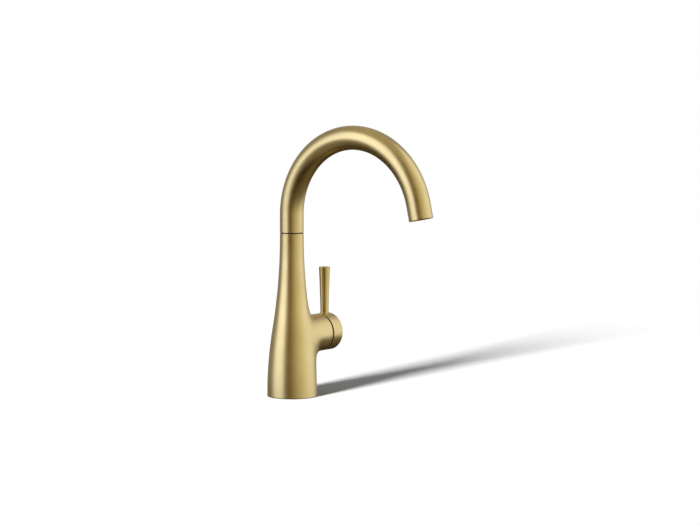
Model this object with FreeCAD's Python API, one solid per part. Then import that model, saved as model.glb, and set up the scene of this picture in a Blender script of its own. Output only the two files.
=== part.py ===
import FreeCAD, Part
import math
import os

# A deck-mounted beverage faucet: a bell-shaped cast body with a side branch for the valve,
# a swivelling gooseneck spout, a hub and lever that turn the valve a quarter turn, and a
# threaded shank with a lock nut that clamps the body to a worktop.
# Millimetres. +Z is up, the origin is the centre of the foot on the worktop, the spout
# points along -Y at rest, and the branch points along +X.

Vector = FreeCAD.Vector
ORIGIN = Vector(0, 0, 0)
UP = Vector(0, 0, 1)
DOWN = Vector(0, 0, -1)
BRANCH_WAY = Vector(1, 0, 0)
SPOUT_SIDE = Vector(0, -1, 0)

# Spout tube
TUBE_D = 22.2
TUBE_WALL = 1.2
TUBE_LEG = 16.55
BEND_RADIUS = 74.3
BEND_ANGLE = 167.4
TIP_STRAIGHT = 13.8
TIP_ROUND = 0.4
TUBE_FOOT_ROUND = 0.3

# Body casting
BASE_D = 46.8
BODY_H = 153.65
FOOT_LAND_H = 2.0
NECK_LAND_H = 2.5
OGEE_TURN_Z = 64.7
BODY_WALL = 3.0
FOOT_ROUND = 0.8
NECK_ROUND = 0.3
FLANGE_H = 6.0
FLANGE_BORE_D = 30.0
SEPTUM_WALL = 3.9
SHANK_ENGAGEMENT = 14.0

# Valve branch on the body
BRANCH_D = 35.5
BRANCH_Z = 56.4
BRANCH_END_X = 40.0
BRANCH_ROUND = 0.5

# Valve seat and waterways
SEAT_X = 6.0
PORT_D = 5.0
PORT_OFFSET = 5.6
RISER_EXTRA = 0.5
DRILL_PAST = 1.0

# Spout joint
SPIGOT_D = 15.1
SPIGOT_BORE_D = 9.0
SPIGOT_PLUG_L = 11.5
SOCKET_L = 31.5
SPIGOT_TAIL = 3.6
GLIDE_RING_T = 0.7
GLIDE_RING_INSET = 0.4
O_RING_SECTION = 1.7
O_RING_GROOVE_W = 2.2
O_RING_DEPTHS = (8.5, 16.5)
SNAP_RING_T = 1.2
SNAP_RING_D = 17.4
SNAP_RING_OPENING = 5.0

# Outlet and aerator
OUTLET_RECESS = 1.2
OUTLET_INSERT_L = 12.0
AERATOR_D = 16.8
AERATOR_L = 8.0
AERATOR_WALL = 1.0
AERATOR_RIM_L = 1.6
GRID_CELL = 1.9
GRID_WEB = 0.45
GRID_T = 1.4
SCREEN_T = 0.6
AERATOR_SEAL_T = 1.2

# Valve cartridge, measured along the branch from the seat
SEAT_SEAL_T = 1.5
FIXED_DISC_T = 3.5
MOVING_DISC_T = 4.0
DISC_D = 19.0
CHANNEL_DEPTH = 1.5
TANG_W = 4.0
TANG_L = 12.0
TANG_H = 1.2
CARTRIDGE_D = 25.2
CARTRIDGE_BODY_L = 14.5
CARTRIDGE_NECK_D = 18.0
CARTRIDGE_NECK_L = 8.0
STEM_D = 8.0
STEM_HEAD_T = 3.0
STEM_O_RING_SECTION = 1.3
STEM_FLAT = 0.6
QUARTER_TURN = 90.0
STOP_KEY_ANGLE = 24.0
STOP_KEY_H = 1.6
STOP_MARGIN = 1.0
NUT_THREAD_D = 29.0
NUT_HEX_AF = 24.0
NUT_HEX_L = 4.0

# Handle
HUB_GAP = 1.65
HUB_W = 13.8
HUB_ROUND = 1.0
HUB_INNER_ROUND = 0.4
HUB_CAVITY_D = 30.6
HUB_CAVITY_DEPTH = 4.6
HUB_STEM_DEPTH = 6.5
HUB_RING_INSET = 1.0
HUB_RING_CLEARANCE = 0.1
LEVER_FROM_HUB_FACE = 7.6
LEVER_L = 44.7
LEVER_ROOT_D = 7.8
LEVER_WAIST_D = 8.8
LEVER_TOP_D = 10.6
LEVER_ROUND = 0.7
LEVER_FOOT_D = 10.2
LEVER_FOOT_H = 0.5
LEVER_SEAT_DEPTH = 0.8
STUD_D = 5.0
STUD_IN_HUB = 7.0
STUD_IN_LEVER = 9.0
SET_SCREW_D = 5.0
SET_SCREW_L = 11.0
SET_SCREW_HEX_AF = 2.5
SET_SCREW_HEX_DEPTH = 3.0

# Deck mounting
GASKET_RIM = 2.4
GASKET_W = 3.5
GASKET_T = 2.0
SHANK_D = 20.9
SHANK_BORE_D = 9.0
SHANK_BELOW_DECK = 52.0
SHANK_SEAL_T = 1.5
INLET_TAIL_D = 14.3
INLET_TAIL_L = 14.0
DECK_T = 30.0
DECK_WASHER_D = 46.0
RUBBER_WASHER_T = 3.0
STEEL_WASHER_T = 2.0
LOCK_NUT_AF = 32.0
LOCK_NUT_H = 8.0
LOCK_NUT_CHAMFER = 1.0

# Clearances
RUN_CLEARANCE = 0.05
SEAL_CLEARANCE = 0.03
DISC_FILM = 0.02
LOOSE_CLEARANCE = 0.3

# Places that follow from the sizes above
TUBE_R = TUBE_D / 2
TUBE_BORE_R = TUBE_R - TUBE_WALL
BASE_R = BASE_D / 2
NECK_R = TUBE_R
BRANCH_R = BRANCH_D / 2
BRANCH_BLEND_R = BRANCH_END_X - BRANCH_ROUND - BASE_R
SPLIT_Z = BODY_H + GLIDE_RING_T + RUN_CLEARANCE
BEND_Z = SPLIT_Z + TUBE_LEG
SOCKET_LOW_Z = BODY_H - SOCKET_L
SPIGOT_R = SPIGOT_D / 2
SOCKET_R = SPIGOT_R + RUN_CLEARANCE
CARTRIDGE_R = CARTRIDGE_D / 2
CHAMBER_R = CARTRIDGE_R + RUN_CLEARANCE
SEPTUM_HIGH_Z = BRANCH_Z + BRANCH_R + SEPTUM_WALL
SHANK_SOCKET_TOP_Z = BRANCH_Z - CHAMBER_R - SEPTUM_WALL
SEPTUM_LOW_Z = SHANK_SOCKET_TOP_Z - SHANK_ENGAGEMENT
SHANK_R = SHANK_D / 2
SHANK_TOP_Z = SHANK_SOCKET_TOP_Z - SHANK_SEAL_T
SEAL_FACE_X = SEAT_X + SEAT_SEAL_T
FIXED_FACE_X = SEAL_FACE_X + FIXED_DISC_T
MOVING_LOW_X = FIXED_FACE_X + DISC_FILM
MOVING_HIGH_X = MOVING_LOW_X + MOVING_DISC_T
STEM_HEAD_X = MOVING_HIGH_X + STEM_HEAD_T
SHOULDER_X = SEAL_FACE_X + CARTRIDGE_BODY_L
NUT_END_X = BRANCH_END_X + NUT_HEX_L
HUB_X = BRANCH_END_X + HUB_GAP
HUB_END_X = HUB_X + HUB_W
HUB_FLOOR_X = HUB_X + HUB_CAVITY_DEPTH
STEM_END_X = HUB_FLOOR_X + HUB_STEM_DEPTH
STEM_R = STEM_D / 2
STEM_BORE_R = STEM_R + RUN_CLEARANCE
LEVER_X = HUB_X + LEVER_FROM_HUB_FACE
LEVER_Z = BRANCH_Z + BRANCH_R - LEVER_SEAT_DEPTH
GASKET_R = BASE_R - GASKET_RIM
GASKET_BORE_R = GASKET_R - GASKET_W
CLAMP_Z = -DECK_T
VALVE_AXIS = Vector(0, 0, BRANCH_Z)

# Where the outlet is, and which way the water leaves it
TIP_LEAN = 180.0 - BEND_ANGLE
TIP_WAY = Vector(0, -math.sin(math.radians(TIP_LEAN)), -math.cos(math.radians(TIP_LEAN)))
BEND_END = Vector(
    0,
    -BEND_RADIUS * (1 + math.cos(math.radians(TIP_LEAN))),
    BEND_Z + BEND_RADIUS * math.sin(math.radians(TIP_LEAN)),
)
TIP = BEND_END + TIP_WAY * TIP_STRAIGHT


# Making shapes

def rod(radius, start, way, length):
    """A solid round bar from a point, along a direction."""
    return Part.makeCylinder(radius, length, start, way)


def tube(outer_r, inner_r, start, way, length):
    """A round bar with a hole through it."""
    return rod(outer_r, start, way, length).cut(rod(inner_r, start, way, length))


def turned(outline, start, way):
    """A solid turned about an axis. The outline is a list of (radius, distance along the axis)."""
    points = [Vector(radius, 0, along) for radius, along in outline]
    face = Part.Face(Part.makePolygon(points + points[:1]))
    return placed(face.revolve(ORIGIN, UP, 360), start, way)


def placed(shape, start, way):
    """A shape made along +Z from the origin, moved so that +Z runs along a direction from a point."""
    shape.Placement = FreeCAD.Placement(start, FreeCAD.Rotation(UP, way)).multiply(shape.Placement)
    return shape


def prism(across_flats, start, way, length):
    """A hexagonal bar."""
    corner = across_flats / math.sqrt(3)
    points = [
        Vector(corner * math.cos(math.radians(60 * i)), corner * math.sin(math.radians(60 * i)), 0)
        for i in range(6)
    ]
    face = Part.Face(Part.makePolygon(points + points[:1]))
    return placed(face.extrude(UP * length), start, way)


def slab(low_z, high_z):
    """Everything between two heights, wide enough to hold the body."""
    side = 2 * BASE_D
    return Part.makeBox(side, side, high_z - low_z, Vector(-side / 2, -side / 2, low_z))


def round_edges(solid, radius, wanted):
    """Rounds the edges that a test picks out."""
    return solid.makeFillet(radius, [edge for edge in solid.Edges if wanted(edge)])


def is_ring(edge, radius, centre, tolerance=1e-4):
    """True for a circular edge of that radius about that centre."""
    curve = edge.Curve
    return (
        isinstance(curve, Part.Circle)
        and abs(curve.Radius - radius) < tolerance
        and curve.Center.distanceToPoint(centre) < tolerance
    )


def along_branch(x):
    """The point on the valve's axis at that distance from the body's axis."""
    return Vector(x, 0, BRANCH_Z)


# Body casting

def bell(inset):
    """The bell-shaped solid of the body, or of its core where it is set in by the wall.

    Its side is an ogee: two arcs that are upright at the foot and at the neck and meet in a
    common tangent, so their radii follow from the rise, the drop and the height of the turn.
    """
    foot_r, neck_r = BASE_R - inset, NECK_R - inset
    foot_z, neck_z = FOOT_LAND_H, BODY_H - NECK_LAND_H
    rise, drop = neck_z - foot_z, foot_r - neck_r
    both_radii = (rise ** 2 + drop ** 2) / (2 * drop)
    lower_r = both_radii * (OGEE_TURN_Z - foot_z) / rise
    upper_r = both_radii - lower_r
    lean = math.atan2(rise, both_radii - drop)

    def on_lower(angle):
        return Vector(foot_r - lower_r * (1 - math.cos(angle)), 0, foot_z + lower_r * math.sin(angle))

    def on_upper(angle):
        return Vector(neck_r + upper_r * (1 - math.cos(angle)), 0, neck_z - upper_r * math.sin(angle))

    bottom, top = Vector(0, 0, 0), Vector(0, 0, BODY_H)
    outline = [
        Part.LineSegment(top, bottom),
        Part.LineSegment(bottom, Vector(foot_r, 0, 0)),
        Part.LineSegment(Vector(foot_r, 0, 0), on_lower(0)),
        Part.Arc(on_lower(0), on_lower(lean / 2), on_lower(lean)),
        Part.Arc(on_upper(lean), on_upper(lean / 2), on_upper(0)),
        Part.LineSegment(on_upper(0), Vector(neck_r, 0, BODY_H)),
        Part.LineSegment(Vector(neck_r, 0, BODY_H), top),
    ]
    face = Part.Face(Part.Wire([curve.toShape() for curve in outline]))
    return face.revolve(ORIGIN, UP, 360)


def body_outside():
    """The bell with its branch, and rounded at the free edges.

    The blend where they meet takes up the whole length of the branch, so the two flow into each other.
    """
    branch = rod(BRANCH_R, VALVE_AXIS, BRANCH_WAY, BRANCH_END_X)
    plain = bell(0).fuse(branch).removeSplitter()

    def is_seam(edge):
        """The seam between bell and branch is the only edge that is neither a ring nor straight."""
        return isinstance(edge.Curve, (Part.BSplineCurve, Part.BezierCurve))

    solid = round_edges(plain, BRANCH_BLEND_R, is_seam)
    solid = round_edges(solid, FOOT_ROUND, lambda edge: is_ring(edge, BASE_R, ORIGIN))
    solid = round_edges(solid, NECK_ROUND, lambda edge: is_ring(edge, NECK_R, Vector(0, 0, BODY_H)))
    return round_edges(solid, BRANCH_ROUND, lambda edge: is_ring(edge, BRANCH_R, along_branch(BRANCH_END_X)))


def body():
    """The casting: outside, cored hollows, valve chamber, waterways and sockets."""
    core = bell(BODY_WALL)
    hollows = [
        core.common(slab(FLANGE_H, SEPTUM_LOW_Z)),
        core.common(slab(SEPTUM_HIGH_Z, SOCKET_LOW_Z)),
        rod(SOCKET_R, Vector(0, 0, SOCKET_LOW_Z), UP, SOCKET_L),
        rod(SNAP_RING_D / 2 + LOOSE_CLEARANCE, Vector(0, 0, SOCKET_LOW_Z), DOWN, SPIGOT_TAIL),
        rod(FLANGE_BORE_D / 2, ORIGIN, UP, FLANGE_H),
        tube(GASKET_R, GASKET_BORE_R, ORIGIN, UP, GASKET_T),
        rod(SHANK_R + RUN_CLEARANCE, Vector(0, 0, SEPTUM_LOW_Z), UP, SHANK_ENGAGEMENT),
        rod(CHAMBER_R, along_branch(SEAT_X), BRANCH_WAY, BRANCH_END_X - SEAT_X),
        rod(NUT_THREAD_D / 2, along_branch(SHOULDER_X), BRANCH_WAY, BRANCH_END_X - SHOULDER_X),
    ]
    port_r = PORT_D / 2
    riser_r = port_r + RISER_EXTRA
    past = port_r + DRILL_PAST
    inlet_z, outlet_z = BRANCH_Z - PORT_OFFSET, BRANCH_Z + PORT_OFFSET
    inlet = rod(riser_r, Vector(0, 0, SHANK_SOCKET_TOP_Z), UP, inlet_z + past - SHANK_SOCKET_TOP_Z)
    outlet = rod(riser_r, Vector(0, 0, outlet_z - past), UP, SEPTUM_HIGH_Z - outlet_z + past)
    hollows += [
        inlet.fuse(rod(port_r, Vector(0, 0, inlet_z), BRANCH_WAY, SEAT_X)),
        outlet.fuse(rod(port_r, Vector(0, 0, outlet_z), BRANCH_WAY, SEAT_X)),
    ]
    return body_outside().cut(hollows)


# Spout

def spout_tube():
    """A bent tube: an upright leg, a long bend towards the front and a short straight tip."""
    foot = Vector(0, 0, SPLIT_Z)
    bend_start = Vector(0, 0, BEND_Z)
    bend_centre = Vector(0, -BEND_RADIUS, BEND_Z)

    def swept(radius):
        section = Part.Face(Part.Wire(Part.makeCircle(radius, bend_start, UP)))
        bend = section.revolve(bend_centre, BRANCH_WAY, BEND_ANGLE)
        leg = rod(radius, foot, UP, TUBE_LEG)
        tip = rod(radius, BEND_END, TIP_WAY, TIP_STRAIGHT)
        return leg.fuse([bend, tip]).removeSplitter()

    solid = swept(TUBE_R).cut(swept(TUBE_BORE_R))
    solid = round_edges(solid, TIP_ROUND, lambda edge: is_ring(edge, TUBE_R, TIP))
    return round_edges(solid, TUBE_FOOT_ROUND, lambda edge: is_ring(edge, TUBE_R, foot))


def groove_outline(low_z, bottom_r, outer_r):
    """The outline points of one O-ring groove, walking up the outside of a turned part."""
    return [(outer_r, low_z), (bottom_r, low_z), (bottom_r, low_z + O_RING_GROOVE_W),
            (outer_r, low_z + O_RING_GROOVE_W)]


def o_ring_lows():
    """The lower sides of the spigot's O-ring grooves, from the bottom up."""
    return sorted(BODY_H - depth - O_RING_GROOVE_W for depth in O_RING_DEPTHS)


O_RING_MID_R = SOCKET_R - SEAL_CLEARANCE - O_RING_SECTION / 2
O_RING_GROOVE_R = O_RING_MID_R - O_RING_SECTION / 2
SNAP_GROOVE_R = SPIGOT_R - (SNAP_RING_D / 2 - SOCKET_R)
SNAP_HIGH_Z = SOCKET_LOW_Z - RUN_CLEARANCE
SNAP_LOW_Z = SNAP_HIGH_Z - SNAP_RING_T


def spout_spigot():
    """The turned end of the spout: soldered in the tube, it turns in the body's neck."""
    bore_r, plug_r = SPIGOT_BORE_D / 2, TUBE_BORE_R
    low_z, top_z = SOCKET_LOW_Z - SPIGOT_TAIL, SPLIT_Z + SPIGOT_PLUG_L
    mouth_r = (bore_r + plug_r) / 2
    outline = [(bore_r, low_z), (SPIGOT_R, low_z), (SPIGOT_R, SNAP_LOW_Z), (SNAP_GROOVE_R, SNAP_LOW_Z),
               (SNAP_GROOVE_R, SNAP_HIGH_Z), (SPIGOT_R, SNAP_HIGH_Z)]
    for groove_z in o_ring_lows():
        outline += groove_outline(groove_z, O_RING_GROOVE_R, SPIGOT_R)
    outline += [(SPIGOT_R, SPLIT_Z), (plug_r, SPLIT_Z), (plug_r, top_z), (mouth_r, top_z), (bore_r, SPLIT_Z)]
    return turned(outline, ORIGIN, UP)


def spout_o_rings():
    """Two seals in the spigot's grooves."""
    middles = [low + O_RING_GROOVE_W / 2 for low in o_ring_lows()]
    return Part.makeCompound(
        [Part.makeTorus(O_RING_MID_R, O_RING_SECTION / 2, Vector(0, 0, z), UP) for z in middles]
    )


def spout_glide_ring():
    """The dark bearing ring that shows as the line between spout and body."""
    return tube(TUBE_R - GLIDE_RING_INSET, SOCKET_R, Vector(0, 0, BODY_H), UP, GLIDE_RING_T)


def spout_snap_ring():
    """An open spring ring in the spigot's lower groove, which keeps the spout from lifting out."""
    start = Vector(0, 0, SNAP_LOW_Z)
    ring = tube(SNAP_RING_D / 2, SNAP_GROOVE_R, start, UP, SNAP_RING_T)
    opening = Part.makeBox(
        SNAP_RING_OPENING, SNAP_RING_D, SNAP_RING_T, Vector(-SNAP_RING_OPENING / 2, 0, SNAP_LOW_Z)
    )
    return ring.cut(opening)


# Outlet: places here are distances up the tip from its end

AERATOR_R = AERATOR_D / 2
AERATOR_TOP = OUTLET_RECESS + AERATOR_L
UP_TIP = TIP_WAY * -1


def in_tip(distance):
    """The point on the tip's axis that far inside its end."""
    return TIP + UP_TIP * distance


def outlet_insert():
    """The threaded ring soldered in the tip, with a ledge that the aerator seals against."""
    ledge_r = AERATOR_R - 2 * AERATOR_WALL
    end = OUTLET_RECESS + OUTLET_INSERT_L
    ledge = AERATOR_TOP + AERATOR_SEAL_T
    outline = [(AERATOR_R, OUTLET_RECESS), (TUBE_BORE_R, OUTLET_RECESS), (TUBE_BORE_R, end),
               (ledge_r, end), (ledge_r, ledge), (AERATOR_R, ledge)]
    return turned(outline, TIP, UP_TIP)


def aerator_housing():
    """The screw-in cup that carries the grid and the screen."""
    inner_r = AERATOR_R - AERATOR_WALL
    screen_seat = AERATOR_TOP - SCREEN_T
    grid_top = OUTLET_RECESS + AERATOR_RIM_L + GRID_T
    lip_r = inner_r - AERATOR_WALL
    outline = [(lip_r, OUTLET_RECESS), (AERATOR_R, OUTLET_RECESS), (AERATOR_R, AERATOR_TOP),
               (inner_r, AERATOR_TOP), (inner_r, screen_seat), (lip_r, screen_seat), (lip_r, grid_top),
               (inner_r, grid_top), (inner_r, OUTLET_RECESS + AERATOR_RIM_L), (lip_r, OUTLET_RECESS + AERATOR_RIM_L)]
    return turned(outline, TIP, UP_TIP)


def aerator_grid():
    """The honeycomb disc that straightens the stream: six-sided cells on a triangular lattice."""
    disc_r = AERATOR_R - AERATOR_WALL
    pitch = GRID_CELL + GRID_WEB
    rows = int(disc_r / pitch) + 1
    reach = disc_r - AERATOR_WALL - GRID_CELL / math.sqrt(3)
    cells = []
    for i in range(-2 * rows, 2 * rows + 1):
        for j in range(-rows, rows + 1):
            x, y = pitch * math.sqrt(3) / 2 * j, pitch * (i + j / 2)
            if math.hypot(x, y) <= reach:
                cells.append(prism(GRID_CELL, Vector(x, y, 0), UP, GRID_T))
    disc = rod(disc_r, ORIGIN, UP, GRID_T).cut(cells)
    return placed(disc, in_tip(OUTLET_RECESS + AERATOR_RIM_L), UP_TIP)


def aerator_screen():
    """The strainer disc on the water side of the aerator."""
    return rod(AERATOR_R - AERATOR_WALL, in_tip(AERATOR_TOP - SCREEN_T), UP_TIP, SCREEN_T)


def aerator_seal():
    """The flat washer between the aerator and the ledge in the tip."""
    return tube(AERATOR_R, AERATOR_R - 2 * AERATOR_WALL, in_tip(AERATOR_TOP), UP_TIP, AERATOR_SEAL_T)


# Valve cartridge, along the branch

DISC_R = DISC_D / 2


def ports(start_x, length):
    """The inlet and outlet holes that line up from the body's seat through seal and fixed disc."""
    return [
        rod(PORT_D / 2, along_branch(start_x) + UP * offset, BRANCH_WAY, length)
        for offset in (-PORT_OFFSET, PORT_OFFSET)
    ]


def cartridge_seat_seal():
    return rod(DISC_R, along_branch(SEAT_X), BRANCH_WAY, SEAT_SEAL_T).cut(ports(SEAT_X, SEAT_SEAL_T))


def fixed_disc():
    return rod(DISC_R, along_branch(SEAL_FACE_X), BRANCH_WAY, FIXED_DISC_T).cut(ports(SEAL_FACE_X, FIXED_DISC_T))


def tang():
    """The bar on the stem's head that drives the moving disc, and the pocket that it fits."""
    start = along_branch(MOVING_HIGH_X - TANG_H) - Vector(0, TANG_W / 2, TANG_L / 2)
    return Part.makeBox(TANG_H, TANG_W, TANG_L, start)


def moving_disc():
    """The ceramic disc that turns: a blind channel joins the two ports when it stands upright."""
    radius = DISC_R - LOOSE_CLEARANCE
    disc = rod(radius, along_branch(MOVING_LOW_X), BRANCH_WAY, MOVING_DISC_T)
    start = along_branch(MOVING_LOW_X)
    ends = [rod(PORT_D / 2, start + SPOUT_SIDE * offset, BRANCH_WAY, CHANNEL_DEPTH)
            for offset in (-PORT_OFFSET, PORT_OFFSET)]
    middle = Part.makeBox(CHANNEL_DEPTH, 2 * PORT_OFFSET, PORT_D, start - Vector(0, PORT_OFFSET, PORT_D / 2))
    return disc.cut(ends[0].fuse([ends[1], middle]).removeSplitter()).cut(tang())


def sector(inner_r, outer_r, start_x, length, start_angle, sweep):
    """Part of a ring about the valve's axis. Angles turn from +Y towards +Z, as the handle opens."""
    corners = [(start_x, inner_r), (start_x + length, inner_r), (start_x + length, outer_r), (start_x, outer_r)]
    points = [Vector(x, r, BRANCH_Z) for x, r in corners]
    face = Part.Face(Part.makePolygon(points + points[:1]))
    face.rotate(VALVE_AXIS, BRANCH_WAY, start_angle)
    return face.revolve(VALVE_AXIS, BRANCH_WAY, sweep)


STOP_KEY_START = -90.0 - STOP_KEY_ANGLE / 2


def cartridge_body():
    """The shell that holds the discs against the seat, with a narrower neck inside the nut.

    A key in its cavity stops the stem's head at both ends of the quarter turn.
    """
    cavity_r, neck_r = DISC_R + RUN_CLEARANCE, CARTRIDGE_NECK_D / 2
    cavity_x = STEM_HEAD_X + RUN_CLEARANCE
    neck_end_x = SHOULDER_X + CARTRIDGE_NECK_L
    outline = [(cavity_r, SEAL_FACE_X), (CARTRIDGE_R, SEAL_FACE_X), (CARTRIDGE_R, SHOULDER_X),
               (neck_r, SHOULDER_X), (neck_r, neck_end_x), (STEM_BORE_R, neck_end_x),
               (STEM_BORE_R, cavity_x), (cavity_r, cavity_x)]
    shell_r = (cavity_r + CARTRIDGE_R) / 2
    key = sector(DISC_R - STOP_KEY_H, shell_r, MOVING_HIGH_X + LOOSE_CLEARANCE, STEM_HEAD_T,
                 STOP_KEY_START, STOP_KEY_ANGLE)
    return turned(outline, VALVE_AXIS, BRANCH_WAY).fuse(key).removeSplitter()


STEM_RING_MID_R = STEM_BORE_R - SEAL_CLEARANCE - STEM_O_RING_SECTION / 2
STEM_GROOVE_R = STEM_RING_MID_R - STEM_O_RING_SECTION / 2
STEM_GROOVE_X = SHOULDER_X
STEM_GROOVE_W = STEM_O_RING_SECTION * O_RING_GROOVE_W / O_RING_SECTION


def valve_stem():
    """The spindle: a head with a tang at the disc, a seal groove, and a flat for the set screw."""
    head_r = DISC_R - LOOSE_CLEARANCE
    groove_end_x = STEM_GROOVE_X + STEM_GROOVE_W
    outline = [(0, MOVING_HIGH_X), (head_r, MOVING_HIGH_X), (head_r, STEM_HEAD_X), (STEM_R, STEM_HEAD_X),
               (STEM_R, STEM_GROOVE_X), (STEM_GROOVE_R, STEM_GROOVE_X), (STEM_GROOVE_R, groove_end_x),
               (STEM_R, groove_end_x), (STEM_R, STEM_END_X), (0, STEM_END_X)]
    spindle = turned(outline, VALVE_AXIS, BRANCH_WAY).fuse(tang())
    flat_x = LEVER_X - SET_SCREW_D / 2 - LOOSE_CLEARANCE
    flat = Part.makeBox(
        STEM_END_X - flat_x, STEM_D, STEM_FLAT, along_branch(flat_x) + Vector(0, -STEM_R, -STEM_R)
    )
    slot_start = STOP_KEY_START - QUARTER_TURN - STOP_MARGIN
    slot_sweep = QUARTER_TURN + STOP_KEY_ANGLE + 2 * STOP_MARGIN
    slot_r = DISC_R - STOP_KEY_H - LOOSE_CLEARANCE
    slot = sector(slot_r, DISC_R, MOVING_HIGH_X, STEM_HEAD_T, slot_start, slot_sweep)
    return spindle.cut([flat, slot])


def stem_o_ring():
    middle = along_branch(STEM_GROOVE_X + STEM_GROOVE_W / 2)
    return Part.makeTorus(STEM_RING_MID_R, STEM_O_RING_SECTION / 2, middle, BRANCH_WAY)


def cartridge_nut():
    """The bonnet nut that screws into the branch and presses on the cartridge's shoulder."""
    thread_r = NUT_THREAD_D / 2 - RUN_CLEARANCE
    neck_r = CARTRIDGE_NECK_D / 2 + RUN_CLEARANCE
    threaded = rod(thread_r, along_branch(SHOULDER_X), BRANCH_WAY, BRANCH_END_X - SHOULDER_X)
    head = prism(NUT_HEX_AF, along_branch(BRANCH_END_X), BRANCH_WAY, NUT_HEX_L)
    bore = rod(neck_r, along_branch(SHOULDER_X), BRANCH_WAY, NUT_END_X - SHOULDER_X)
    return threaded.fuse(head).cut(bore)


# Handle

def hub_glide_ring():
    """The dark ring in the gap between the branch and the hub."""
    length = HUB_GAP - HUB_RING_CLEARANCE
    return tube(
        BRANCH_R - HUB_RING_INSET, NUT_THREAD_D / 2, along_branch(BRANCH_END_X), BRANCH_WAY, length
    )


def handle_hub():
    """The round cap at the end of the branch, hollow over the nut and bored for the stem."""
    cap = rod(BRANCH_R, along_branch(HUB_X), BRANCH_WAY, HUB_W)
    cap = round_edges(cap, HUB_ROUND, lambda edge: is_ring(edge, BRANCH_R, along_branch(HUB_END_X)))
    cap = round_edges(cap, HUB_INNER_ROUND, lambda edge: is_ring(edge, BRANCH_R, along_branch(HUB_X)))
    lever_foot = Vector(LEVER_X, 0, LEVER_Z)
    hollows = [
        rod(HUB_CAVITY_D / 2, along_branch(HUB_X), BRANCH_WAY, HUB_CAVITY_DEPTH),
        rod(STEM_BORE_R, along_branch(HUB_FLOOR_X), BRANCH_WAY, HUB_STEM_DEPTH + LOOSE_CLEARANCE),
        rod(LEVER_FOOT_D / 2 + RUN_CLEARANCE, lever_foot, UP, 2 * LEVER_SEAT_DEPTH),
        rod(STUD_D / 2, lever_foot, DOWN, STUD_IN_HUB),
        rod(SET_SCREW_D / 2, along_branch(LEVER_X), DOWN, BRANCH_D),
    ]
    return cap.cut(hollows)


def handle_lever():
    """A slim lever that widens towards its top along a shallow hollow curve, on a small flared foot."""
    foot_r, root_r, waist_r, top_r = (d / 2 for d in (LEVER_FOOT_D, LEVER_ROOT_D, LEVER_WAIST_D, LEVER_TOP_D))
    flare = foot_r - root_r
    root_z = LEVER_FOOT_H + flare
    bow = flare * math.sqrt(0.5)
    foot, foot_edge = Vector(foot_r, 0, 0), Vector(foot_r, 0, LEVER_FOOT_H)
    root, top = Vector(root_r, 0, root_z), Vector(top_r, 0, LEVER_L)
    tip = Vector(0, 0, LEVER_L)
    edges = [
        Part.LineSegment(ORIGIN, foot),
        Part.LineSegment(foot, foot_edge),
        Part.Arc(foot_edge, Vector(foot_r - bow, 0, root_z - bow), root),
        Part.Arc(root, Vector(waist_r, 0, LEVER_L / 2), top),
        Part.LineSegment(top, tip),
        Part.LineSegment(tip, ORIGIN),
    ]
    face = Part.Face(Part.Wire([curve.toShape() for curve in edges]))
    solid = face.revolve(ORIGIN, UP, 360)
    solid = round_edges(solid, LEVER_ROUND, lambda edge: is_ring(edge, top_r, tip))
    solid = solid.cut(rod(STUD_D / 2, ORIGIN, UP, STUD_IN_LEVER))
    return placed(solid, Vector(LEVER_X, 0, LEVER_Z), UP)


def lever_stud():
    """The grub stud that joins lever and hub."""
    return rod(STUD_D / 2, Vector(LEVER_X, 0, LEVER_Z - STUD_IN_HUB), UP, STUD_IN_HUB + STUD_IN_LEVER)


def handle_set_screw():
    """The socket screw under the hub, whose point bears on the stem's flat."""
    point_z = BRANCH_Z - STEM_R + STEM_FLAT
    screw = rod(SET_SCREW_D / 2, Vector(LEVER_X, 0, point_z), DOWN, SET_SCREW_L)
    socket_z = point_z - SET_SCREW_L
    return screw.cut(prism(SET_SCREW_HEX_AF, Vector(LEVER_X, 0, socket_z), UP, SET_SCREW_HEX_DEPTH))


# Deck mounting

def deck_gasket():
    return tube(GASKET_R, GASKET_BORE_R, ORIGIN, UP, GASKET_T)


def mounting_shank():
    """The threaded pipe through the worktop, with a smaller threaded tail for the supply."""
    bore_r, tail_r = SHANK_BORE_D / 2, INLET_TAIL_D / 2
    end_z = -SHANK_BELOW_DECK
    outline = [(bore_r, end_z - INLET_TAIL_L), (tail_r, end_z - INLET_TAIL_L), (tail_r, end_z),
               (SHANK_R, end_z), (SHANK_R, SHANK_TOP_Z), (bore_r, SHANK_TOP_Z)]
    return turned(outline, ORIGIN, UP)


def shank_seal():
    return tube(SHANK_R, SHANK_BORE_D / 2, Vector(0, 0, SHANK_TOP_Z), UP, SHANK_SEAL_T)


def deck_washer(high_z, thickness):
    return tube(DECK_WASHER_D / 2, SHANK_R + LOOSE_CLEARANCE, Vector(0, 0, high_z), DOWN, thickness)


def lock_nut():
    """A six-sided nut on the shank, with its corners turned off at both ends."""
    high_z = CLAMP_Z - RUBBER_WASHER_T - STEEL_WASHER_T
    low_z = high_z - LOCK_NUT_H
    corner_r, flat_r = LOCK_NUT_AF / math.sqrt(3), LOCK_NUT_AF / 2
    rim = (corner_r - flat_r) + LOCK_NUT_CHAMFER
    barrel = turned(
        [(0, low_z), (corner_r - rim, low_z), (corner_r, low_z + LOCK_NUT_CHAMFER),
         (corner_r, high_z - LOCK_NUT_CHAMFER), (corner_r - rim, high_z), (0, high_z)],
        ORIGIN,
        UP,
    )
    hexagon = prism(LOCK_NUT_AF, Vector(0, 0, low_z), UP, LOCK_NUT_H)
    return hexagon.common(barrel).cut(rod(SHANK_R + RUN_CLEARANCE, Vector(0, 0, low_z), UP, LOCK_NUT_H))


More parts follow.
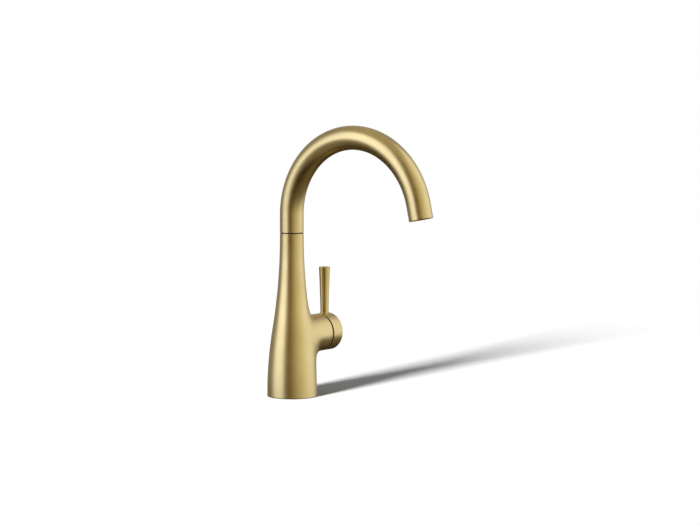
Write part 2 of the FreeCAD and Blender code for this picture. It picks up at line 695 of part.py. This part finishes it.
NODES = {
    "body": body,
    "spout_tube": spout_tube,
    "spout_spigot": spout_spigot,
    "spout_o_rings": spout_o_rings,
    "spout_glide_ring": spout_glide_ring,
    "spout_snap_ring": spout_snap_ring,
    "outlet_insert": outlet_insert,
    "aerator_housing": aerator_housing,
    "aerator_grid": aerator_grid,
    "aerator_screen": aerator_screen,
    "aerator_seal": aerator_seal,
    "cartridge_seat_seal": cartridge_seat_seal,
    "fixed_disc": fixed_disc,
    "moving_disc": moving_disc,
    "cartridge_body": cartridge_body,
    "valve_stem": valve_stem,
    "stem_o_ring": stem_o_ring,
    "cartridge_nut": cartridge_nut,
    "hub_glide_ring": hub_glide_ring,
    "handle_hub": handle_hub,
    "handle_lever": handle_lever,
    "lever_stud": lever_stud,
    "handle_set_screw": handle_set_screw,
    "deck_gasket": deck_gasket,
    "mounting_shank": mounting_shank,
    "shank_seal": shank_seal,
    "rubber_washer": lambda: deck_washer(CLAMP_Z, RUBBER_WASHER_T),
    "steel_washer": lambda: deck_washer(CLAMP_Z - RUBBER_WASHER_T, STEEL_WASHER_T),
    "lock_nut": lock_nut,
}

os.makedirs("parts", exist_ok=True)
for name, make in NODES.items():
    make().exportStep(os.path.join("parts", name + ".step"))
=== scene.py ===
import math

import bmesh
import bpy
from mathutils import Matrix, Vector

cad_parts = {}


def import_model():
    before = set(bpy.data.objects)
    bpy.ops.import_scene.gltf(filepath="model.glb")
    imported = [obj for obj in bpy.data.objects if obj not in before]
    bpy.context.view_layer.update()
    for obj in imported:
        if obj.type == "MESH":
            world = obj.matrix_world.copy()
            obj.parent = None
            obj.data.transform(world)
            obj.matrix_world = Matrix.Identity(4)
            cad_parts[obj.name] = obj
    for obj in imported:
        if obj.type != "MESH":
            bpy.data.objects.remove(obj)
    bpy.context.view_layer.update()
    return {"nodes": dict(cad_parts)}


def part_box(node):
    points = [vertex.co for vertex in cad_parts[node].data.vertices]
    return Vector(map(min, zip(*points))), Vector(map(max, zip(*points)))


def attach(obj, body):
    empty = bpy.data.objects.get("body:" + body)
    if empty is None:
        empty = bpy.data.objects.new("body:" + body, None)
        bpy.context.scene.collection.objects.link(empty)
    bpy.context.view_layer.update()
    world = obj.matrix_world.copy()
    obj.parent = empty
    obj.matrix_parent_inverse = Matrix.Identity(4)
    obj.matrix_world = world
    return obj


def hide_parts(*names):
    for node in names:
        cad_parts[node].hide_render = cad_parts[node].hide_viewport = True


# A satin gold beverage faucet on a white ground, seen from its front left.
# Metres, in the frame of the solids: +Z up, the spout along -Y, the valve branch along +X.

MM = 0.001

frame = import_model()
nodes = frame["nodes"]

# Camera
CAMERA_AZIMUTH = math.radians(37.72)
CAMERA_PITCH = 0.0998
CAMERA_DISTANCE = 2557.7 * MM
CAMERA_SIDE = 54.4 * MM
CAMERA_HEIGHT = 382.1 * MM
LENS_MM = 141.3
SENSOR_MM = 36.0

AWAY = Vector((math.cos(CAMERA_AZIMUTH), math.sin(CAMERA_AZIMUTH), 0))
RIGHT = Vector((math.sin(CAMERA_AZIMUTH), -math.cos(CAMERA_AZIMUTH), 0))
UP = Vector((0, 0, 1))

# Studio: what stands round the faucet, by angle to the right of the camera in degrees
BACKDROP = "#898784"
DIM = "#6F6D68"
BOX = "#E9EFFF"
SHADE = "#55461A"
TAN = "#98917A"
PALE = "#B6B3A2"
WALL = "#C6C7C7"
GROUND = "#FFFFFF"
STUDIO_ROUND = [
    (-180, BACKDROP), (-150, DIM), (-108, DIM), (-82, BOX), (-47, BOX), (-31, SHADE), (-9, SHADE),
    (24, TAN), (60, PALE), (90, WALL), (120, WALL), (152, DIM), (180, BACKDROP),
]
CEILING = "#857F6C"
DARKENED = "#69604A"
STUDIO_LEVEL = 1.79
FILL_LEVEL = 0.043

# The ceiling's edge rises to the right and the dark floor's edge falls: sines of the angle above
# the horizon
CEILING_EDGE = (0.76, 0.92)
CEILING_RISE = 0.18
FLOOR_EDGE = (-0.07, -0.39)
FLOOR_FALL = 0.07

# Floor and shadow; the sun's place and width are in degrees
FLOOR_SIZE = 400.0
FLOOR_BOUNCE = "#D0D0D0"
FLOOR_LIFT = 4.05
FADE_FROM = 380 * MM
FADE_TO = 720 * MM
SUN_SIDE = -34
SUN_HEIGHT = 12
SUN_WIDTH = 12
SUN_LEVEL = 3.4

# Finishes: the middle of a noise's values, which is spread over a range of tone or of gloss, and the
# number of grains in the width of a moulded surface's clouds
CLOUD_SPAN = (0.35, 0.65)
GRAIN_SPAN = (0.3, 0.7)
CLOUD_GRAINS = 10

# Wire cloth: the heights in a wave between which its wire begins, and a wave's radians per metre at scale 1
WIRE_EDGE = (0.45, 0.6)
WAVE_RATE = 20

# Spout bend
BEND_RADIUS = 74.3 * MM
BEND_CENTRE = (0, -BEND_RADIUS, 170.95 * MM)

# Bell of the body, whose side is two arcs that meet where it turns, and its branch
FOOT_R = 23.4 * MM
NECK_R = 11.1 * MM
FOOT_LAND_Z = 2.0 * MM
NECK_LAND_Z = 151.15 * MM
OGEE_TURN_Z = 64.7 * MM
BRANCH_R = 17.75 * MM
BRANCH_Z = 56.4 * MM

# Web between bell and branch: how far it reaches over the bell, where it ends on the branch, and how
# long it follows the bell and the branch, as a share of the way between its two edges. Its edge on the
# bell is an ellipse at a roundness of 1, and the powers say how late its top and bottom turn into its sides.
WEB_RISE = 43.24 * MM
WEB_DROP = 47.81 * MM
WEB_SPREAD = math.radians(89.4)
WEB_ROUNDNESS = 0.943
WEB_TOP = {"end": 31.33 * MM, "leave": 0.407, "meet": 0.419}
WEB_SIDE = {"end": 26.0 * MM, "leave": 0.364, "meet": 0.662}
WEB_BOTTOM = {"end": 38.92 * MM, "leave": 0.507, "meet": 0.35}
WEB_TOP_POWER = 1.341
WEB_BOTTOM_POWER = 2.046
WEB_SINK = 0.006 * MM
WEB_WALL = 0.6 * MM
WEB_STEPS = 24
WEB_RAYS = 144

# Mounting shank, below and inside the foot
SHANK_R = 10.45 * MM
SHANK_BORE_R = 4.5 * MM
SHANK_END_Z = -52 * MM
SHANK_THREAD_TOP_Z = 20 * MM
SHANK_PITCH = 25.4 / 14 * MM
SHANK_THREAD_DEPTH = 1.1 * MM
TAIL_R = 7.15 * MM
TAIL_END_Z = -66 * MM
TAIL_PITCH = 25.4 / 24 * MM
TAIL_THREAD_DEPTH = 0.65 * MM
END_CHAMFER = 0.7 * MM
THREAD_OVERLAP = 0.05 * MM
STEPS_PER_TURN = 36

# Half the width of a thread's ridge, as a share of its pitch
ROOT_SHARE = 0.46
CREST_SHARE = 0.07

# Meshes
MERGE_DISTANCE = 0.001 * MM
SHARP_ANGLE = math.radians(30)


def linear(hex_colour):
    """A linear colour from an sRGB hex value."""
    parts = [int(hex_colour[i:i + 2], 16) / 255 for i in (1, 3, 5)]
    return tuple(c / 12.92 if c <= 0.04045 else ((c + 0.055) / 1.055) ** 2.4 for c in parts) + (1.0,)


def node(tree, kind, settings=None, inputs=None, **values):
    """Adds a node and sets its properties. An input gets a value or another node's output."""
    made = tree.nodes.new(kind)
    for name, value in (settings or {}).items():
        setattr(made, name, value)
    for name, value in values.items():
        made.inputs[name.replace("_", " ")].default_value = value
    for name, value in (inputs or {}).items():
        if isinstance(value, bpy.types.NodeSocket):
            tree.links.new(value, made.inputs[name])
        else:
            made.inputs[name].default_value = value
    return made


def material(name):
    """An empty node material and its tree."""
    made = bpy.data.materials.new(name)
    made.use_nodes = True
    made.node_tree.nodes.clear()
    return made, made.node_tree


# Where a pattern lies on a piece: Z runs along the piece, X and Y across it

def upright(tree):
    """Places on a piece that was turned about a vertical axis."""
    return node(tree, "ShaderNodeTexCoord").outputs["Object"]


def along_branch(tree):
    """Places on a piece that was turned about the branch's axis, laid along Z."""
    place = node(tree, "ShaderNodeTexCoord").outputs["Object"]
    laid = node(tree, "ShaderNodeMapping", inputs={"Vector": place}, Rotation=(0, -math.pi / 2, 0))
    return laid.outputs["Vector"]


def along_spout(tree):
    """Places on the bent tube, straightened: Z is the length along its middle line from the crown."""
    place = node(tree, "ShaderNodeTexCoord").outputs["Object"]
    moved = node(tree, "ShaderNodeVectorMath", {"operation": "SUBTRACT"}, {0: place, 1: BEND_CENTRE})
    parts = node(tree, "ShaderNodeSeparateXYZ", inputs={"Vector": moved.outputs["Vector"]})
    height = parts.outputs["Z"]
    out = node(tree, "ShaderNodeMath", {"operation": "MULTIPLY"}, {0: parts.outputs["Y"], 1: -1}).outputs[0]
    angle = node(tree, "ShaderNodeMath", {"operation": "ARCTAN2"}, {0: out, 1: height})
    arc = node(tree, "ShaderNodeMath", {"operation": "MULTIPLY"}, {0: angle.outputs[0], 1: BEND_RADIUS})
    quarter = BEND_RADIUS * math.pi / 2
    leg = node(tree, "ShaderNodeMath", {"operation": "SUBTRACT"}, {0: height, 1: quarter})
    under = node(tree, "ShaderNodeMath", {"operation": "LESS_THAN"}, {0: height, 1: 0})
    near = node(tree, "ShaderNodeMath", {"operation": "LESS_THAN"}, {0: out, 1: 0})
    on_leg = node(tree, "ShaderNodeMath", {"operation": "MULTIPLY"},
                  {0: under.outputs[0], 1: near.outputs[0]})
    length = node(tree, "ShaderNodeMix",
                  inputs={0: on_leg.outputs[0], 2: arc.outputs[0], 3: leg.outputs[0]})
    flat = node(tree, "ShaderNodeCombineXYZ", inputs={"X": out, "Y": height})
    swing = node(tree, "ShaderNodeVectorMath", {"operation": "LENGTH"}, {0: flat.outputs[0]})
    straight = node(tree, "ShaderNodeCombineXYZ",
                    inputs={"X": parts.outputs["X"], "Y": swing.outputs["Value"], "Z": length.outputs[0]})
    return straight.outputs["Vector"]


# Finishes

def surface(tree, clouds, grain, light, deep, gloss, relief, **shading):
    """Ends a material: broad clouds set its tone between two colours, and a fine grain its roughness,
    within the range that gloss gives, and its relief."""
    tone = node(tree, "ShaderNodeMapRange", inputs={"Value": clouds.outputs["Fac"]},
                From_Min=CLOUD_SPAN[0], From_Max=CLOUD_SPAN[1])
    colour = node(tree, "ShaderNodeMix", {"data_type": "RGBA"},
                  {"Factor": tone.outputs[0], 6: linear(light), 7: linear(deep)})
    rough = node(tree, "ShaderNodeMapRange", inputs={"Value": grain.outputs["Fac"]},
                 From_Min=GRAIN_SPAN[0], From_Max=GRAIN_SPAN[1], To_Min=gloss[0], To_Max=gloss[1])
    bump = node(tree, "ShaderNodeBump", inputs={"Height": grain.outputs["Fac"]},
                Strength=1.0, Distance=relief)
    shader = node(
        tree, "ShaderNodeBsdfPrincipled",
        inputs={"Base Color": colour.outputs[2], "Roughness": rough.outputs[0], "Normal": bump.outputs[0]},
        **shading,
    )
    node(tree, "ShaderNodeOutputMaterial", inputs={"Surface": shader.outputs["BSDF"]})


def lined_metal(name, place_of, light, deep, gloss, line, groove):
    """A metal with fine lines round it: line is their width and run, groove the depth of them."""
    made, tree = material(name)
    place = place_of(tree)
    width, run = line
    drawn = node(tree, "ShaderNodeMapping", inputs={"Vector": place}, Scale=(1 / run, 1 / run, 1 / width))
    lines = node(tree, "ShaderNodeTexNoise", inputs={"Vector": drawn.outputs["Vector"]},
                 Scale=1.0, Detail=3.0, Roughness=0.6)
    clouds = node(tree, "ShaderNodeTexNoise", inputs={"Vector": place}, Scale=1 / run, Detail=2.0)
    surface(tree, clouds, lines, light, deep, gloss, groove, Metallic=1.0)
    return made


def moulded(name, light, deep, gloss, grain, relief, ior):
    """A plastic, rubber or ceramic: grain is the size of its surface texture, relief the height of it.
    Real grains are under 0.1 mm; they are drawn a few times as wide so that they show."""
    made, tree = material(name)
    place = node(tree, "ShaderNodeTexCoord").outputs["Object"]
    fine = node(tree, "ShaderNodeTexNoise", inputs={"Vector": place}, Scale=1 / grain, Detail=2.0)
    clouds = node(tree, "ShaderNodeTexNoise", inputs={"Vector": place},
                  Scale=1 / (CLOUD_GRAINS * grain), Detail=2.0)
    surface(tree, clouds, fine, light, deep, gloss, relief, IOR=ior)
    return made


def satin_gold(name, place_of, light="#E6D199", deep="#E0C990", gloss=(0.29, 0.36), groove=0.005 * MM):
    """Brass with a satin gold coating, brushed round each piece: lights spread into soft broad bands, with
    faint lines round the piece and a tone that is not quite even. Brush marks are about 0.1 mm wide; they
    are drawn 0.9 mm wide so that they show."""
    return lined_metal(name, place_of, light, deep, gloss, (0.9 * MM, 30 * MM), groove)


def shaded_lever_gold():
    """The same coating over a smoother lever, with a clearer shine. Its colours are deeper than the body's
    as painted shade, standing in for the darker reflections on the lever.
    """
    # Painted shade: the lever's two colours are darker than the body's.
    return satin_gold("satin_gold_lever_shaded", upright, "#D4BE85", "#CBB479", (0.15, 0.2), 0.0012 * MM)


def turned_brass(name, place_of):
    """Bare brass off the lathe: yellower than the coating and brighter, with the fine rings of the tool.
    The tool's feed is about 0.15 mm; it is drawn 0.5 mm wide so that it shows."""
    return lined_metal(name, place_of, "#D9B668", "#C49F52", (0.2, 0.32), (0.5 * MM, 25 * MM), 0.015 * MM)


def stainless(name, place_of):
    """Stainless steel, rolled and tumbled: a cool grey with a dull gloss and short faint lines. They are
    about 0.1 mm wide, and drawn 0.4 mm wide so that they show."""
    return lined_metal(name, place_of, "#C2C1BD", "#ABAAA7", (0.26, 0.38), (0.4 * MM, 6 * MM), 0.008 * MM)


def woven_wire():
    """Stainless wire cloth: bright rounded wires each way, with painted shade in the gaps between them for
    the dark seen through the cloth. The real cloth has 0.4 mm between wires; it is drawn at 0.9 mm so that
    it shows."""
    made, tree = material("stainless_wire_cloth")
    pitch = 0.9 * MM
    relief = 0.1 * MM
    # Painted shade: the gaps between the wires get the dark seen through the cloth, not a colour of their
    # own.
    painted_gap_shade = linear("#1B1A18")
    steel = linear("#B9B8B4")
    wave_scale = 2 * math.pi / (WAVE_RATE * pitch)
    place = node(tree, "ShaderNodeTexCoord").outputs["Object"]
    weft = node(tree, "ShaderNodeTexWave", {"bands_direction": "X"}, {"Vector": place}, Scale=wave_scale)
    warp = node(tree, "ShaderNodeTexWave", {"bands_direction": "Y"}, {"Vector": place}, Scale=wave_scale)
    wires = node(tree, "ShaderNodeMath", {"operation": "MAXIMUM"},
                 {0: weft.outputs["Fac"], 1: warp.outputs["Fac"]})
    solid = node(tree, "ShaderNodeMapRange", inputs={"Value": wires.outputs[0]},
                 From_Min=WIRE_EDGE[0], From_Max=WIRE_EDGE[1])
    colour = node(tree, "ShaderNodeMix", {"data_type": "RGBA"},
                  {"Factor": solid.outputs[0], 6: painted_gap_shade, 7: steel})
    bump = node(tree, "ShaderNodeBump", inputs={"Height": wires.outputs[0]}, Strength=1.0, Distance=relief)
    shader = node(
        tree, "ShaderNodeBsdfPrincipled",
        inputs={"Base Color": colour.outputs[2], "Normal": bump.outputs[0]},
        Metallic=1.0, Roughness=0.3,
    )
    node(tree, "ShaderNodeOutputMaterial", inputs={"Surface": shader.outputs["BSDF"]})
    return made


def black_acetal():
    """Acetal moulded black: nearly black with a soft, slightly waxy gloss and a fine spark texture."""
    return moulded("black_acetal", "#1A1611", "#120F0B", (0.48, 0.6), 0.4 * MM, 0.010 * MM, 1.48)


def white_acetal():
    """Natural acetal, moulded: a milky off-white with a soft gloss."""
    return moulded("white_acetal", "#DEDBD3", "#D2CEC4", (0.36, 0.48), 0.4 * MM, 0.008 * MM, 1.48)


def nitrile_rubber():
    """Nitrile rubber, moulded and wiped: matt charcoal with a faint grey bloom."""
    return moulded("nitrile_rubber", "#232322", "#171716", (0.6, 0.78), 0.5 * MM, 0.020 * MM, 1.52)


def alumina():
    """Alumina ceramic, lapped flat: dense cream white with a hard clear gloss."""
    return moulded("alumina_ceramic", "#EFEBE2", "#E4DFD3", (0.1, 0.18), 0.3 * MM, 0.002 * MM, 1.76)


def dress(names, finish):
    """Gives a finish to CAD nodes."""
    for name in names:
        for slot in nodes[name].material_slots:
            slot.material = finish


def dress_all():
    """Gives every CAD node the finish of the real piece."""
    dress(["body"], satin_gold("satin_gold_body", upright))
    dress(["spout_tube"], satin_gold("satin_gold_spout", along_spout))
    dress(["handle_hub"], satin_gold("satin_gold_hub", along_branch))
    dress(["handle_lever"], shaded_lever_gold())
    dress(["spout_spigot", "outlet_insert", "mounting_shank", "lock_nut"],
          turned_brass("turned_brass", upright))
    dress(["cartridge_nut", "valve_stem"], turned_brass("turned_brass_branch", along_branch))
    dress(["spout_glide_ring", "hub_glide_ring", "aerator_housing"], black_acetal())
    dress(["cartridge_body", "aerator_grid"], white_acetal())
    dress(["spout_o_rings", "aerator_seal", "cartridge_seat_seal", "stem_o_ring", "deck_gasket",
           "shank_seal", "rubber_washer"], nitrile_rubber())
    dress(["fixed_disc", "moving_disc"], alumina())
    dress(["spout_snap_ring", "lever_stud", "handle_set_screw", "steel_washer"],
          stainless("stainless_steel", upright))
    dress(["aerator_screen"], woven_wire())


def finished(name, shape, finish):
    """An object made of a shape that is done, shaded smooth up to its sharp edges."""
    mesh = bpy.data.meshes.new(name)
    shape.to_mesh(mesh)
    shape.free()
    mesh.polygons.foreach_set("use_smooth", [True] * len(mesh.polygons))
    mesh.set_sharp_from_angle(angle=SHARP_ANGLE)
    mesh.materials.append(finish)
    made = bpy.data.objects.new(name, mesh)
    bpy.context.collection.objects.link(made)
    return made


# Web: the casting flows from the bell into the branch more fully than the solid's even round does

def bell_side(height):
    """The bell's radius at a height, and how fast it changes there."""
    rise, drop = NECK_LAND_Z - FOOT_LAND_Z, FOOT_R - NECK_R
    both_radii = (rise ** 2 + drop ** 2) / (2 * drop)
    lower_r = both_radii * (OGEE_TURN_Z - FOOT_LAND_Z) / rise
    upper_r = both_radii - lower_r
    if height < OGEE_TURN_Z:
        up = height - FOOT_LAND_Z
        leg = math.sqrt(lower_r ** 2 - up ** 2)
        return FOOT_R - lower_r + leg, -up / leg
    down = NECK_LAND_Z - height
    leg = math.sqrt(upper_r ** 2 - down ** 2)
    return NECK_R + upper_r - leg, -down / leg


def web_point(along, turn):
    """A point of the web: along runs from the bell to the branch, turn goes round the branch from its top.
    It leaves the bell and meets the branch in their own directions, with its edges just under both."""
    up, side = math.cos(turn), math.sin(turn)
    reach, middle, power = WEB_DROP, WEB_BOTTOM, WEB_BOTTOM_POWER
    if up > 0:
        reach, middle, power = WEB_RISE, WEB_TOP, WEB_TOP_POWER
    share = abs(side) ** power
    shape = {name: middle[name] + (WEB_SIDE[name] - middle[name]) * share for name in WEB_SIDE}
    height = BRANCH_Z + reach * math.copysign(abs(up) ** WEB_ROUNDNESS, up)
    azimuth = -WEB_SPREAD * math.copysign(abs(side) ** WEB_ROUNDNESS, side)
    radius, slope = bell_side(height)
    out_of_bell = Vector((math.cos(azimuth), math.sin(azimuth), -slope)).normalized()
    out_of_branch = Vector((0, -side, up))
    on_bell = Vector((radius * math.cos(azimuth), radius * math.sin(azimuth), height))
    first = on_bell - out_of_bell * WEB_SINK
    last = Vector((shape["end"], 0, BRANCH_Z)) + out_of_branch * (BRANCH_R - WEB_SINK)
    chord = last - first
    lead = (chord - out_of_bell * chord.dot(out_of_bell)).normalized()
    second = first + lead * shape["leave"] * chord.length
    third = last - Vector((shape["meet"] * chord.length, 0, 0))
    back = 1 - along
    bell_end = first * back ** 3 + second * 3 * along * back ** 2
    return bell_end + third * 3 * along ** 2 * back + last * along ** 3


def branch_web():
    """A thin gold skin over the corner between bell and branch, with its rows closer at both edges."""
    web = bmesh.new()
    bmesh.ops.create_grid(web, x_segments=WEB_STEPS, y_segments=WEB_RAYS, size=0.5)
    for corner in web.verts:
        along = 0.5 + 0.5 * math.sin(math.pi * corner.co.x)
        corner.co = web_point(along, 2 * math.pi * (corner.co.y + 0.5))
    bmesh.ops.remove_doubles(web, verts=web.verts[:], dist=MERGE_DISTANCE)
    bmesh.ops.recalc_face_normals(web, faces=web.faces[:])
    bmesh.ops.solidify(web, geom=web.faces[:], thickness=WEB_WALL)
    made = finished("branch_web", web, nodes["body"].material_slots[0].material)
    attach(made, "faucet_body")


# Threaded shank: the solid is a plain pipe, and the threads are cut here

def screw_ridge(crest_r, depth, pitch, low_z, high_z):
    """A closed ridge that winds up from low_z to high_z, cut square at both ends."""
    ridge = bmesh.new()
    turns = math.ceil((high_z - low_z) / pitch) + 2
    start_z = low_z - pitch
    root_r = crest_r - depth - THREAD_OVERLAP
    half_root, half_crest = ROOT_SHARE * pitch, CREST_SHARE * pitch
    section = [(root_r, -half_root), (crest_r, -half_crest), (crest_r, half_crest), (root_r, half_root)]
    corners = [ridge.verts.new((r, 0, start_z + z)) for r, z in section]
    sides = [ridge.edges.new((corners[i - 1], corners[i])) for i in range(len(corners))]
    bmesh.ops.spin(
        ridge, geom=corners + sides, cent=(0, 0, 0), axis=UP, dvec=(0, 0, pitch / STEPS_PER_TURN),
        angle=2 * math.pi * turns, steps=turns * STEPS_PER_TURN,
    )
    for height, way in ((low_z, -UP), (high_z, UP)):
        bmesh.ops.bisect_plane(
            ridge, geom=ridge.verts[:] + ridge.edges[:] + ridge.faces[:], plane_co=(0, 0, height),
            plane_no=way, clear_outer=True,
        )
    bmesh.ops.edgeloop_fill(ridge, edges=[edge for edge in ridge.edges if edge.is_boundary])
    bmesh.ops.recalc_face_normals(ridge, faces=ridge.faces[:])
    made = bpy.data.meshes.new("screw_ridge")
    ridge.to_mesh(made)
    ridge.free()
    return made


def threaded_shank():
    """The brass pipe through the worktop, with a pipe thread for the lock nut and a finer one on its
    tail."""
    top_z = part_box("mounting_shank")[1][2]
    core_r = SHANK_R - SHANK_THREAD_DEPTH
    tail_core_r = TAIL_R - TAIL_THREAD_DEPTH
    thread_end_z = SHANK_END_Z + END_CHAMFER
    tail_thread_end_z = TAIL_END_Z + END_CHAMFER
    outline = [
        (SHANK_BORE_R + END_CHAMFER, TAIL_END_Z), (tail_core_r - END_CHAMFER, TAIL_END_Z),
        (tail_core_r, tail_thread_end_z), (tail_core_r, SHANK_END_Z),
        (core_r - END_CHAMFER, SHANK_END_Z), (core_r, thread_end_z),
        (core_r, SHANK_THREAD_TOP_Z), (SHANK_R, SHANK_THREAD_TOP_Z + SHANK_THREAD_DEPTH), (SHANK_R, top_z),
        (SHANK_BORE_R, top_z), (SHANK_BORE_R, tail_thread_end_z),
    ]
    pipe = bmesh.new()
    corners = [pipe.verts.new((r, 0, z)) for r, z in outline]
    sides = [pipe.edges.new((corners[i - 1], corners[i])) for i in range(len(corners))]
    bmesh.ops.spin(
        pipe, geom=corners + sides, cent=(0, 0, 0), axis=UP, angle=2 * math.pi, steps=2 * STEPS_PER_TURN,
        use_merge=True,
    )
    bmesh.ops.remove_doubles(pipe, verts=pipe.verts[:], dist=MERGE_DISTANCE)
    bmesh.ops.recalc_face_normals(pipe, faces=pipe.faces[:])
    ridges = [
        screw_ridge(SHANK_R, SHANK_THREAD_DEPTH, SHANK_PITCH, thread_end_z, SHANK_THREAD_TOP_Z),
        screw_ridge(TAIL_R, TAIL_THREAD_DEPTH, TAIL_PITCH, tail_thread_end_z, SHANK_END_Z),
    ]
    for ridge in ridges:
        pipe.from_mesh(ridge)
        bpy.data.meshes.remove(ridge)
    made = finished("threaded_shank", pipe, turned_brass("turned_brass_shank", upright))
    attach(made, "faucet_body")
    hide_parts("mounting_shank")


# Set

def floor():
    """A wide white floor at worktop height. The camera sees it lifted to white, with the faucet's shadow,
    which fades out into plain white further off."""
    bpy.ops.mesh.primitive_plane_add(size=FLOOR_SIZE)
    plane = bpy.context.object
    plane.name = "floor"
    made, tree = material("white_floor")
    place = node(tree, "ShaderNodeTexCoord").outputs["Object"]
    far = node(tree, "ShaderNodeVectorMath", {"operation": "LENGTH"}, {0: place})
    fade = node(tree, "ShaderNodeMapRange", {"interpolation_type": "SMOOTHSTEP"},
                {"Value": far.outputs["Value"]}, From_Min=FADE_FROM, From_Max=FADE_TO)
    shaded = node(tree, "ShaderNodeBsdfDiffuse", Color=(FLOOR_LIFT, FLOOR_LIFT, FLOOR_LIFT, 1))
    blank = node(tree, "ShaderNodeEmission", Color=linear(GROUND), Strength=1.0)
    seen = node(tree, "ShaderNodeMixShader",
                inputs={0: fade.outputs[0], 1: shaded.outputs[0], 2: blank.outputs[0]})
    bounced = node(tree, "ShaderNodeBsdfDiffuse", Color=linear(FLOOR_BOUNCE))
    path = node(tree, "ShaderNodeLightPath")
    mixed = node(tree, "ShaderNodeMixShader",
                 inputs={0: path.outputs["Is Camera Ray"], 1: bounced.outputs[0], 2: seen.outputs[0]})
    node(tree, "ShaderNodeOutputMaterial", inputs={"Surface": mixed.outputs[0]})
    plane.data.materials.append(made)
    plane.visible_glossy = False


def sun():
    """The low light from the left that casts the long shadow to the right."""
    side, height = math.radians(SUN_SIDE), math.radians(SUN_HEIGHT)
    way = (-AWAY * math.cos(side) + RIGHT * math.sin(side)) * math.cos(height) + UP * math.sin(height)
    data = bpy.data.lights.new("sun", "SUN")
    data.energy = SUN_LEVEL
    data.angle = math.radians(SUN_WIDTH)
    made = bpy.data.objects.new("sun", data)
    bpy.context.collection.objects.link(made)
    made.rotation_euler = way.to_track_quat("Z", "Y").to_euler()
    made.visible_glossy = False


def studio_colour(tree):
    """The colour of the studio by direction: a tall soft box on the left, a pale wall on the right, shade
    between them, a backdrop behind, a dull ceiling, and a dark floor that takes on what stands above it."""
    way = node(tree, "ShaderNodeTexCoord").outputs["Generated"]
    across = node(tree, "ShaderNodeVectorMath", {"operation": "DOT_PRODUCT"}, {0: way, 1: RIGHT})
    near = node(tree, "ShaderNodeVectorMath", {"operation": "DOT_PRODUCT"}, {0: way, 1: -AWAY})
    right = across.outputs["Value"]
    angle = node(tree, "ShaderNodeMath", {"operation": "ARCTAN2"}, {0: right, 1: near.outputs["Value"]})
    turn = node(tree, "ShaderNodeMapRange", inputs={"Value": angle.outputs[0]},
                From_Min=-math.pi, From_Max=math.pi)
    ramp = node(tree, "ShaderNodeValToRGB", inputs={"Fac": turn.outputs[0]})
    stops = ramp.color_ramp.elements
    while len(stops) < len(STUDIO_ROUND):
        stops.new(0.5)
    for stop, (degrees, colour) in zip(stops, STUDIO_ROUND):
        stop.position = degrees / 360 + 0.5
        stop.color = linear(colour)
    height = node(tree, "ShaderNodeSeparateXYZ", inputs={"Vector": way}).outputs["Z"]
    rising = node(tree, "ShaderNodeMath", {"operation": "MULTIPLY_ADD"},
                  {0: right, 1: -CEILING_RISE, 2: height})
    falling = node(tree, "ShaderNodeMath", {"operation": "MULTIPLY_ADD"},
                   {0: right, 1: FLOOR_FALL, 2: height})
    high = node(tree, "ShaderNodeMapRange", {"interpolation_type": "SMOOTHSTEP"},
                {"Value": rising.outputs[0]}, From_Min=CEILING_EDGE[0], From_Max=CEILING_EDGE[1])
    low = node(tree, "ShaderNodeMapRange", {"interpolation_type": "SMOOTHSTEP"},
               {"Value": falling.outputs[0]}, From_Min=FLOOR_EDGE[0], From_Max=FLOOR_EDGE[1])
    upper = node(tree, "ShaderNodeMix", {"data_type": "RGBA"},
                 {"Factor": high.outputs[0], 6: ramp.outputs["Color"], 7: linear(CEILING)})
    whole = node(tree, "ShaderNodeMix", {"data_type": "RGBA", "blend_type": "MULTIPLY"},
                 {"Factor": low.outputs[0], 6: upper.outputs[2], 7: linear(DARKENED)})
    return whole.outputs[2]


def world():
    """The camera sees plain white, the metal sees the studio, and the rest gets a little even fill, as do
    reflections that come after a diffuse bounce."""
    made = bpy.data.worlds.new("studio")
    bpy.context.scene.world = made
    made.use_nodes = True
    tree = made.node_tree
    tree.nodes.clear()
    path = node(tree, "ShaderNodeLightPath")
    studio = node(tree, "ShaderNodeBackground", inputs={"Color": studio_colour(tree)},
                  Strength=STUDIO_LEVEL)
    fill = node(tree, "ShaderNodeBackground", Color=linear(GROUND), Strength=FILL_LEVEL)
    ground = node(tree, "ShaderNodeBackground", Color=linear(GROUND), Strength=1.0)
    unspread = node(tree, "ShaderNodeMath", {"operation": "LESS_THAN"},
                    {0: path.outputs["Diffuse Depth"], 1: 1})
    mirrored = node(tree, "ShaderNodeMath", {"operation": "MULTIPLY"},
                    {0: path.outputs["Is Glossy Ray"], 1: unspread.outputs[0]})
    plain = node(tree, "ShaderNodeMath", {"operation": "MAXIMUM"},
                 {0: path.outputs["Is Camera Ray"], 1: path.outputs["Is Transmission Ray"]})
    lit = node(tree, "ShaderNodeMixShader",
               inputs={0: mirrored.outputs[0], 1: fill.outputs[0], 2: studio.outputs[0]})
    seen = node(tree, "ShaderNodeMixShader",
                inputs={0: plain.outputs[0], 1: lit.outputs[0], 2: ground.outputs[0]})
    node(tree, "ShaderNodeOutputWorld", inputs={"Surface": seen.outputs[0]})


def camera():
    """A long lens on the front left, a little higher than the spout."""
    data = bpy.data.cameras.new("camera")
    data.lens = LENS_MM
    data.sensor_width = SENSOR_MM
    data.sensor_fit = "HORIZONTAL"
    made = bpy.data.objects.new("camera", data)
    bpy.context.collection.objects.link(made)
    made.location = -AWAY * CAMERA_DISTANCE + RIGHT * CAMERA_SIDE + UP * CAMERA_HEIGHT
    look = AWAY * math.cos(CAMERA_PITCH) - UP * math.sin(CAMERA_PITCH)
    made.rotation_euler = look.to_track_quat("-Z", "Y").to_euler()
    bpy.context.scene.camera = made


dress_all()
branch_web()
threaded_shank()
floor()
sun()
world()
camera()
bpy.context.scene.view_settings.view_transform = "Standard"
